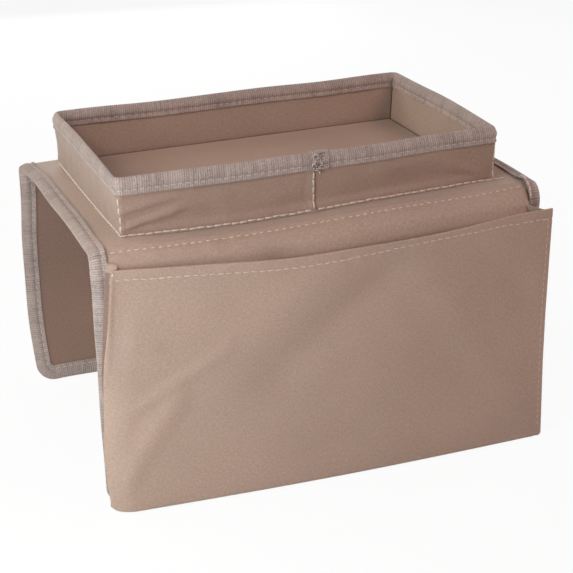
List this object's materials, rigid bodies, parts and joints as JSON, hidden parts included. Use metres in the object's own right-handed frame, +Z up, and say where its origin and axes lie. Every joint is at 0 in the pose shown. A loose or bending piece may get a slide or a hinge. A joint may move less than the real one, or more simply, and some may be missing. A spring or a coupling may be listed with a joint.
{
  "type": "armrest organizer",
  "caption": "Stiffened cloth saddle for a sofa arm, with a raised open tray on top, a hanging front panel with a bellows pocket and a plain hanging back panel.",
  "frame": {"origin": "middle of the footprint's box, on the surface that the two hanging panels stand on", "axes": "+X along the fold lines, -Y towards the pocket, +Z up"},
  "size_m": [0.33, 0.2608, 0.2249],
  "materials": {
    "cover_cloth": "matt plain-weave oxford cloth, taupe",
    "lining_cloth": "matt plain-weave oxford cloth, slightly darker taupe",
    "binding_tape": "cross-ribbed grosgrain tape, greyish taupe",
    "board": "smooth off-white stiffener board, hidden inside the cloth",
    "thread": "twisted polyester sewing thread, light beige"
  },
  "bodies": {
    "saddle": {"top_board": "board", "top_cover": "cover_cloth", "top_lining": "lining_cloth", "saddle_binding_left": "binding_tape", "saddle_binding_right": "binding_tape", "tray_floor_board": "board", "tray_floor_cloth": "lining_cloth", "tray_front_board": "board", "tray_back_board": "board", "tray_left_board": "board", "tray_right_board": "board", "tray_outer_cloth": "cover_cloth", "tray_inner_cloth": "lining_cloth", "tray_rim_binding": "binding_tape", "tray_rim_binding_end": "binding_tape", "front_fold_cover": "cover_cloth", "front_fold_lining": "lining_cloth", "front_fold_binding_left": "binding_tape", "front_fold_binding_right": "binding_tape", "back_fold_cover": "cover_cloth", "back_fold_lining": "lining_cloth", "back_fold_binding_left": "binding_tape", "back_fold_binding_right": "binding_tape"},
    "front_panel": {"front_board": "board", "front_cover": "cover_cloth", "front_lining": "lining_cloth", "front_binding": "binding_tape", "front_pocket": "cover_cloth", "pocket_gusset_left": "cover_cloth", "pocket_gusset_right": "cover_cloth"},
    "back_panel": {"back_board": "board", "back_cover": "cover_cloth", "back_lining": "lining_cloth", "back_binding": "binding_tape"}
  },
  "joints": [
    {"name": "front_fold", "type": "hinge", "parent": "saddle", "child": "front_panel", "pos_m": [0, -0.09987, 0.18143], "axis": [-1, 0, 0], "range_deg": [-30, 90], "deforming": ["front_fold_cover", "front_fold_lining", "front_fold_binding_left", "front_fold_binding_right"]},
    {"name": "back_fold", "type": "hinge", "parent": "saddle", "child": "back_panel", "pos_m": [0, 0.10241, 0.18185], "axis": [1, 0, 0], "range_deg": [-30, 90], "deforming": ["back_fold_cover", "back_fold_lining", "back_fold_binding_left", "back_fold_binding_right"]}
  ]
}
